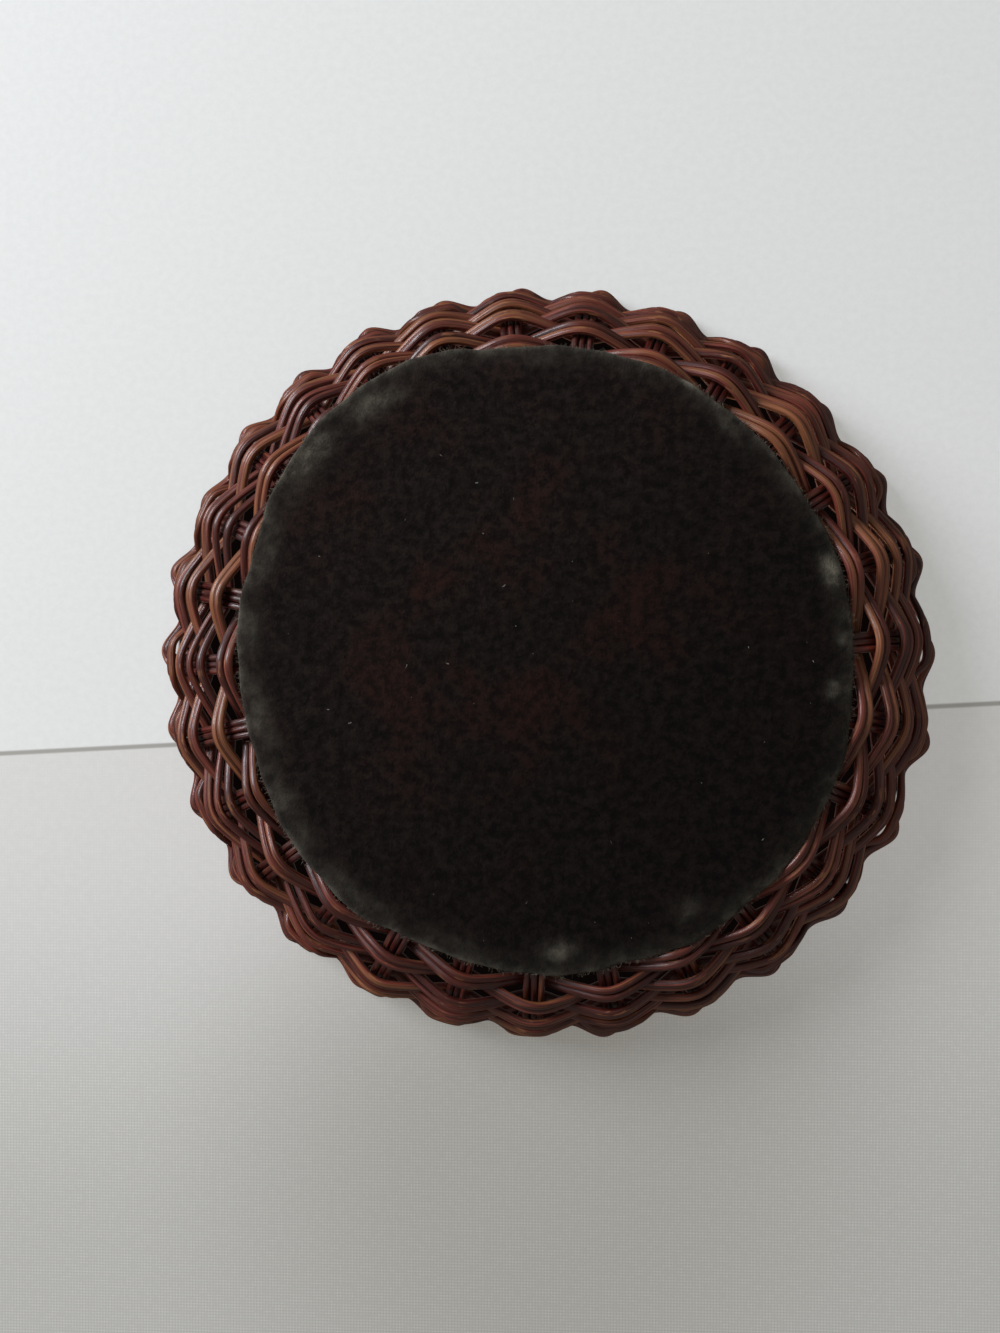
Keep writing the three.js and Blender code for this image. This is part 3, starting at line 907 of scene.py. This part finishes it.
# %% [markdown]
# ## What the backdrop shows
# Behind the bowl a pale upright board meets a floor of primed canvas, with a thin line of painted
# shade where they meet. Two planes at an angle would show this, but one painted plane keeps every view
# simple. The floor has painted shade toward the bottom and a painted shadow under the bowl, and its
# threads are two crossed sine waves that fade toward the corner. The bowl's mouth lies against the
# backdrop, so the patch inside the rim is painted dark as shade.

# %% Backdrop
THREAD = 0.00095
CORNER_SLOPE = 0.053
CORNER_START = -0.0203
CORNER_END = -0.0183
CORNER_LINE = 0.0197
PAINTED_SHADOW_SPOT = (0, -0.16, 0.04)
MOUTH = 116
MOUTH_START = 0.1153
MOUTH_END = 0.1161


def canvas_floor(tree, place, tilt, patchy):
    # Painted shade: the floor darkens toward the bottom.
    toward_corner = ramp(tree, tilt, -0.19, -0.02)
    floor = blend_colours(tree, toward_corner, colour(190, 189, 184), colour(220, 219, 216))
    # Painted shadow: a darker spot on the floor under the bowl.
    from_painted_shadow = measure(tree, "DISTANCE", place, PAINTED_SHADOW_SPOT)
    floor = blend_colours(tree, ramp(tree, from_painted_shadow, 0.03, 0.14), colour(176, 174, 167), floor)
    parts = add(tree, "ShaderNodeSeparateXYZ", Vector=place).outputs
    pace = 2 * math.pi / THREAD
    warp, weft = (maths(tree, "SINE", maths(tree, "MULTIPLY", parts[k], pace)) for k in (0, 1))
    threads = maths(tree, "ADD", warp, weft)
    threads = maths(tree, "MULTIPLY", threads, ramp(tree, patchy, 0.35, 0.65, 0.1, 0.5))
    threads = maths(tree, "MULTIPLY", threads, ramp(tree, tilt, -0.15, -0.03, 1.0, 0.1))
    return shaded(tree, floor, ramp(tree, threads, -1.0, 1.0, 0.86, 1.14))


def backdrop_paint(tree):
    place = on_object(tree)
    parts = add(tree, "ShaderNodeSeparateXYZ", Vector=place).outputs
    tilt = maths(tree, "ADD", parts[1], maths(tree, "MULTIPLY", parts[0], CORNER_SLOPE))
    patchy = noise(tree, place, (420, 420, 0), 3, 0.7)
    floor = canvas_floor(tree, place, tilt, patchy)
    base = blend_colours(tree, ramp(tree, tilt, CORNER_START, CORNER_END), floor, colour(230, 231, 229))
    base = shaded(tree, base, ramp(tree, patchy, 0.3, 0.7, 0.98, 1.02))
    # Painted shade: a thin dark line where board and floor meet.
    corner = maths(tree, "ABSOLUTE", maths(tree, "ADD", tilt, CORNER_LINE))
    base = blend_colours(tree, ramp(tree, corner, 0.0003, 0.0011), colour(168, 166, 160), base)
    flat = add(tree, "ShaderNodeVectorMath", {"operation": "MULTIPLY"}, _0=place, _1=(1, 1, 0)).outputs[0]
    rim = add(tree, "ShaderNodeMapping", {"vector_type": "TEXTURE"}, Vector=flat,
              Rotation=(0, 0, OVAL_ANGLE), Scale=(1 + OVAL / MOUTH, 1 - OVAL / MOUTH, 1)).outputs[0]
    # Painted shade inside the rim, where the bowl's mouth shuts out the light.
    painted_mouth_shade = ramp(tree, measure(tree, "LENGTH", rim), MOUTH_START, MOUTH_END)
    return blend_colours(tree, painted_mouth_shade, colour(16, 10, 8), base)


backdrop = one_sided("backdrop", float(cad_high.z) + 0.0005, False, backdrop_paint, 0.45)
print("backdrop placed at", round(1000 * backdrop.data.vertices[0].co.z, 1), "mm")

# %% [markdown]
# ## Room light and lamps
# The bowl lies in a pale room by a window. A lamp alone would leave black shadows, so a weak, warm
# light comes from all round, stronger from below, while the camera sees the room as plain white. The
# window is a large soft disc, a little cooler than the room, from the left of the picture and
# somewhat above. A second soft lamp overhead serves the other views. It is kept out of reflections so
# that it draws no bright rims on the strands from behind.

# %% Room
LIGHT_BELOW = 0.24
LIGHT_ABOVE = 0.13
ROOM_SEEN = 0.84
WARM = (1.0, 0.95, 0.87, 1.0)
WHITE = (1.0, 1.0, 1.0, 1.0)

world = bpy.data.worlds.new("pale_room")
bpy.context.scene.world = world
world.use_nodes = True
tree = world.node_tree
tree.nodes.clear()
toward = add(tree, "ShaderNodeTexCoord").outputs["Generated"]
up = add(tree, "ShaderNodeSeparateXYZ", Vector=toward).outputs[2]
light = ramp(tree, up, -0.15, 0.25, LIGHT_BELOW, LIGHT_ABOVE)
seen = add(tree, "ShaderNodeLightPath").outputs["Is Camera Ray"]
shown = add(tree, "ShaderNodeMix", {"data_type": "FLOAT"}, _0=seen, _2=light, _3=ROOM_SEEN).outputs[0]
tint = blend_colours(tree, seen, WARM, WHITE)
sky = add(tree, "ShaderNodeBackground", Color=tint, Strength=shown)
tree.links.new(sky.outputs[0], add(tree, "ShaderNodeOutputWorld").inputs[0])
print("room light nodes:", len(tree.nodes))

# %% Lamps
def soft_light(name, spot, size, watts):
    lamp = bpy.data.lights.new(name, "AREA")
    lamp.shape = "DISK"
    lamp.size = size
    lamp.energy = watts
    holder = bpy.data.objects.new(name, lamp)
    holder.location = spot
    holder.rotation_mode = "QUATERNION"
    holder.rotation_quaternion = (-Vector(spot)).to_track_quat("-Z", "Y")
    bpy.context.scene.collection.objects.link(holder)
    return holder


window = soft_light("window", spot=(0.98, 0.57, -0.64), size=0.7, watts=21.5)
window.data.color = (0.95, 0.985, 1.06)
overhead = soft_light("overhead", spot=(0.45, -0.35, 0.95), size=0.9, watts=15.0)
overhead.visible_glossy = False
bpy.context.scene.view_settings.view_transform = "Standard"
print("lamps:", window.name, window.data.energy, "W and", overhead.name, overhead.data.energy, "W")

# %% [markdown]
# ## The camera
# The picture is taken from under the bowl, on its axis. Its lens could be guessed in millimetres, but
# a focal length in picture pixels says directly how large the bowl comes out. The axis doesn't meet
# the middle of the picture, so the camera is turned a little and not moved.

# %% Camera
FOCAL = 1000.0
FRAME_WIDTH, FRAME_HEIGHT = 1000, 1333
AIM = (543.4, 664.0)
DISTANCE = 0.277
SENSOR = 36

camera = bpy.data.objects.new("camera", bpy.data.cameras.new("camera"))
camera.data.sensor_width = SENSOR
camera.data.lens = FOCAL * SENSOR / FRAME_HEIGHT
camera.data.clip_start = 0.01
camera.location = (0, 0, -DISTANCE)
aside = (AIM[0] - FRAME_WIDTH / 2) / FOCAL
aloft = (AIM[1] - FRAME_HEIGHT / 2) / FOCAL
forward = Vector((aside, aloft, 1)).normalized()
right = Vector((-1, 0, 0))
right = (right - forward * right.dot(forward)).normalized()
above = right.cross(forward)
camera.rotation_mode = "QUATERNION"
camera.rotation_quaternion = Matrix((right, above, -forward)).transposed().to_quaternion()
bpy.context.scene.collection.objects.link(camera)
bpy.context.scene.camera = camera
print("lens", round(camera.data.lens, 1), "mm at", DISTANCE, "m")
